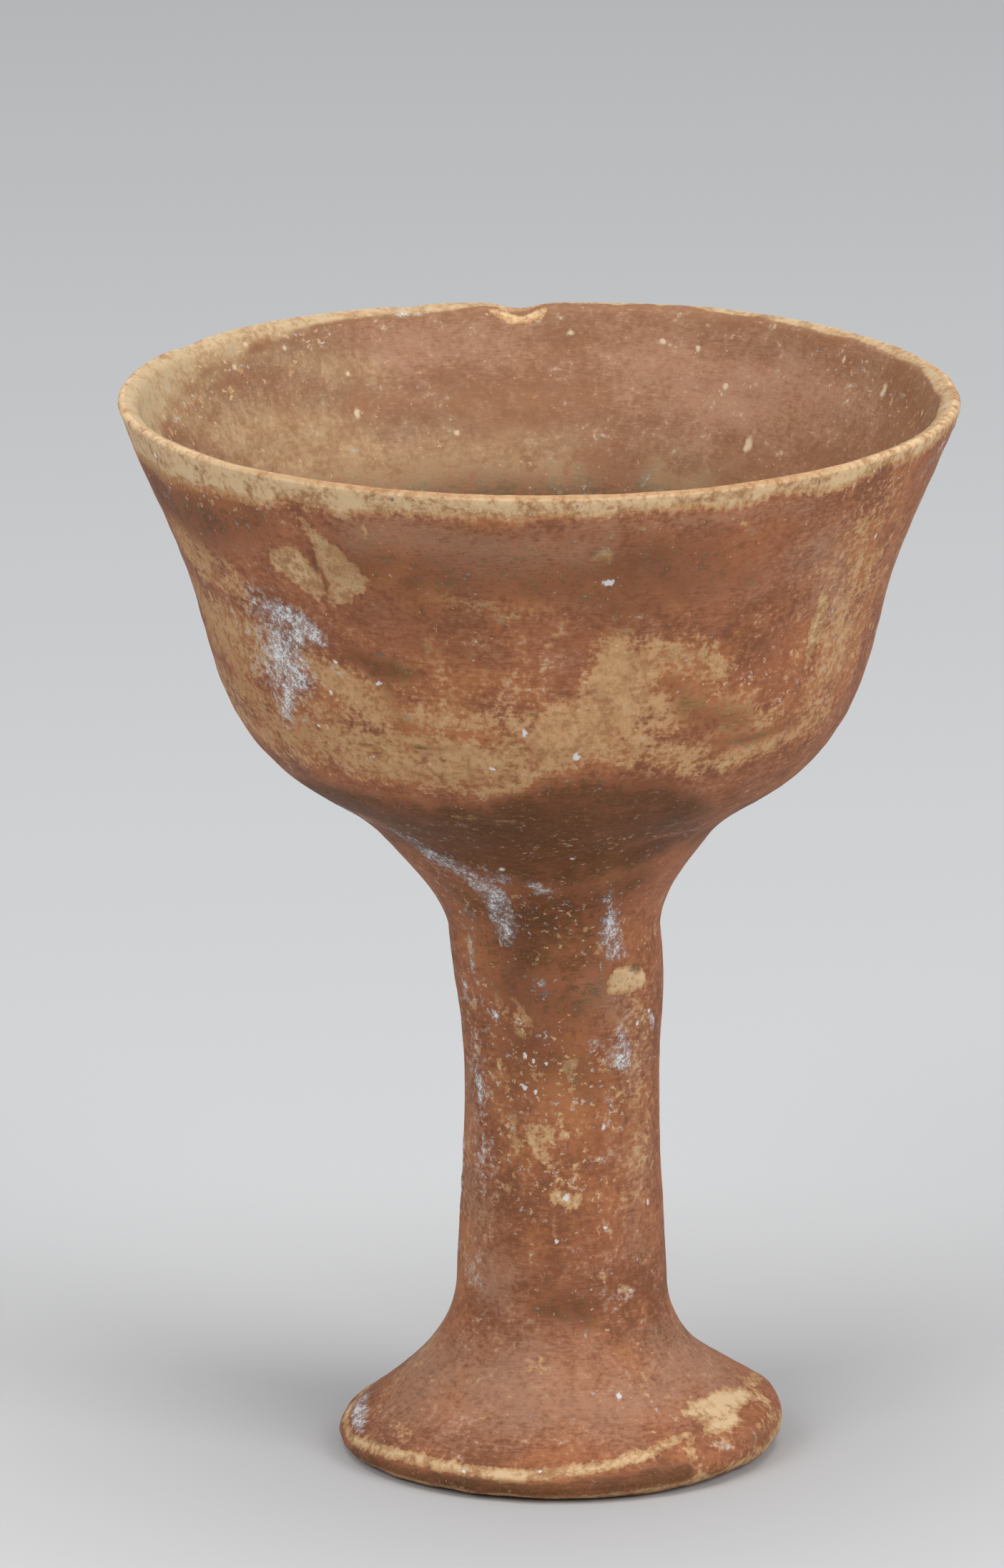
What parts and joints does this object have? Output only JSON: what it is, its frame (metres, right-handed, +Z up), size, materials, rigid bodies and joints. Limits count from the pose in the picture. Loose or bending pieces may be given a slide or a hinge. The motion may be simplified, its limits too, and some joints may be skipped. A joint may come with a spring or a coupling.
{
  "type": "red-slipped clay chalice",
  "caption": "Footed clay drinking cup: a deep flaring bowl on a tall solid stem with a spreading foot, worn red slip.",
  "frame": {"origin": "on the plane the foot stands on, straight below the middle of the mouth", "axes": "+Z up; -Y is the side shown in the picture; +X is the side the foot and stem stand off to"},
  "size_m": [0.12, 0.12, 0.1554],
  "materials": {
    "red_slip": "matt, lightly burnished red slip, worn through to buff at the lip, foot and belly, with lime crust"
  },
  "bodies": {
    "root": {"chalice": "red_slip"}
  },
  "joints": []
}
